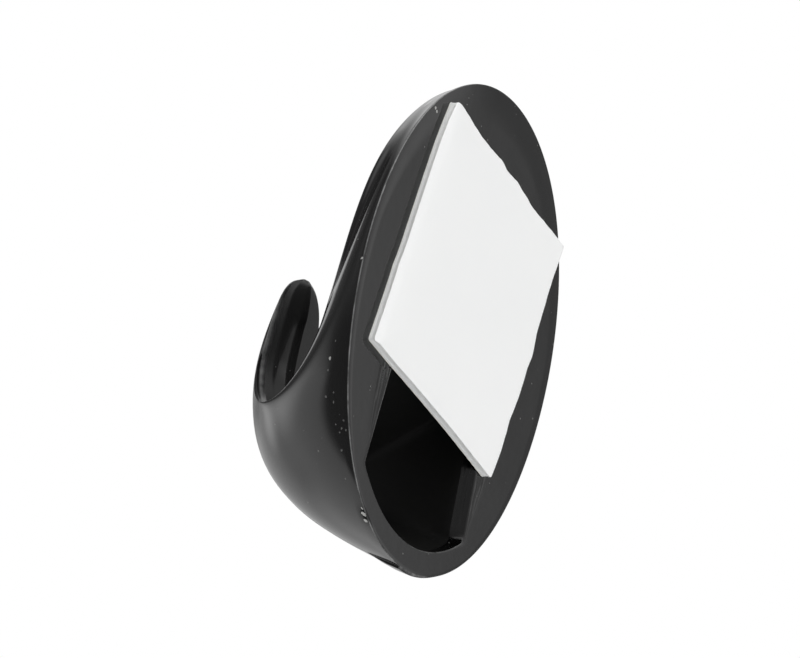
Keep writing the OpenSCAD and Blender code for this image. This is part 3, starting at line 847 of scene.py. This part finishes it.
# The grey wall: it brightens in two stretches, and dims again
WALL_FIRST, WALL_FIRST_GLOW, WALL_NEXT, WALL_NEXT_GLOW = (28, 56), 0.2, (58.2, 61.4), 0.62
WALL_END, WALL_END_SHARE = (61.5, 70), 0.5


def studio():
    """A white sweep below and behind, a wide light overhead and a dark room at the camera."""
    world = bpy.data.worlds.new("studio")
    bpy.context.scene.world = world
    world.use_nodes = True
    tree = world.node_tree
    light = tree.nodes["Background"]
    way = node(tree, "ShaderNodeTexCoord").outputs["Generated"]

    def along(axis):
        made = node(tree, "ShaderNodeVectorMath", operation="DOT_PRODUCT")
        tree.links.new(way, made.inputs[0])
        made.inputs[1].default_value = axis
        return made.outputs["Value"]

    def add(a, b):
        return maths(tree, "ADD", a, b)

    def times(a, b):
        return maths(tree, "MULTIPLY", a, b)

    def less(a, b):
        return maths(tree, "SUBTRACT", a, b)

    def squared(value):
        return maths(tree, "POWER", maths(tree, "ABSOLUTE", value), 2.0)

    def fade(value, span, low, high):
        return ranged(tree, value, *span, low, high, True)

    def patch(right, up, stretch, start, end, inside, outside):
        far = add(squared(less(side, right)), squared(times(less(height, up), stretch)))
        return fade(maths(tree, "SQRT", far), (start, end), inside, outside)

    side = times(maths(tree, "ARCTAN2", along(RIGHT), times(along(BACK), -1)), DEGREES)
    height = times(maths(tree, "ARCSINE", along(UP)), DEGREES)
    # Lower edge of the wide light overhead: it falls to the right behind the object, and far left
    falling = maths(tree, "MINIMUM", add(times(side, OVER_TILT), OVER_MIDDLE), OVER_LIMIT)
    far_left = maths(tree, "MAXIMUM", add(times(side, LEFT_TILT), LEFT_MIDDLE), LEFT_LIMIT)
    top = maths(tree, "MINIMUM", falling, far_left)
    top = maths(tree, "MAXIMUM", top, fade(side, RIGHT_END, *RIGHT_EDGE))
    over = fade(less(height, top), OVER_SOFT, 0, 1)
    # The dark room
    dark = times(fade(height, UPPER_SPAN, 0, UPPER_GLOW), fade(side, UPPER_LEFT, 1, 0))
    dark = add(dark, fade(side, ROOM_SPAN, *ROOM_GLOW))
    # The white sweep: it ends on the left, its upper edge bows, and it has two pools of light
    bow = add(times(squared(less(side, BOW_AT)), BOW_FALL), BOW_HEIGHT)
    brow = maths(tree, "MAXIMUM", bow, BOW_LEAST)
    sweep = times(fade(less(height, brow), BOW_SOFT, 1, 0), fade(side, SWEEP_START, 0, 1))
    sweep = times(sweep, fade(side, RIGHT_END, 1, 0))
    inwards = less(fade(height, FAR_DOWN, FAR_DOWN_MORE, 0), INWARDS_LESS)
    inwards = times(fade(side, INWARDS, 0, 1), inwards)
    bright = add(add(add(SWEEP_GLOW, inwards), patch(*POOL)), patch(*SPILL))
    # The grey wall on the right
    wall = fade(side, WALL_FIRST, 0, WALL_FIRST_GLOW)
    wall = add(wall, fade(side, WALL_NEXT, 0, WALL_NEXT_GLOW))
    wall = times(wall, fade(side, WALL_END, 1, WALL_END_SHARE))
    glow = add(dark, wall)
    glow = add(glow, times(sweep, less(bright, glow)))
    # The lit backdrop straight behind, which only grazing edges mirror
    for lit in (BACKDROP, BACKDROP_EDGE):
        glow = maths(tree, "MAXIMUM", glow, patch(*lit))
    # A soft box in the overhead light, above and behind
    glow = add(glow, times(over, less(patch(*SOFT_BOX), glow)))
    # The camera itself sees plain white
    seen = node(tree, "ShaderNodeLightPath").outputs["Is Camera Ray"]
    light.inputs["Color"].default_value = (1, 1, 1, 1)
    tree.links.new(add(times(glow, less(1.0, seen)), seen), light.inputs["Strength"])


studio()


def soft_light(name, direction, power, size):
    light = bpy.data.lights.new(name, "SUN")
    light.energy, light.angle = power, size
    obj = bpy.data.objects.new(name, light)
    bpy.context.scene.collection.objects.link(obj)
    obj.rotation_mode = "QUATERNION"
    obj.rotation_quaternion = Vector(direction).to_track_quat("Z", "Y")
    obj.visible_glossy = False


soft_light("fill_light", RIGHT * 0.75 + BACK * 0.6 + UP * 0.25, power=0.5, size=0.9)
soft_light("floor_light", (0.1, -0.1, 1.0), power=0.3, size=0.5)
bpy.context.scene.view_settings.view_transform = "Standard"
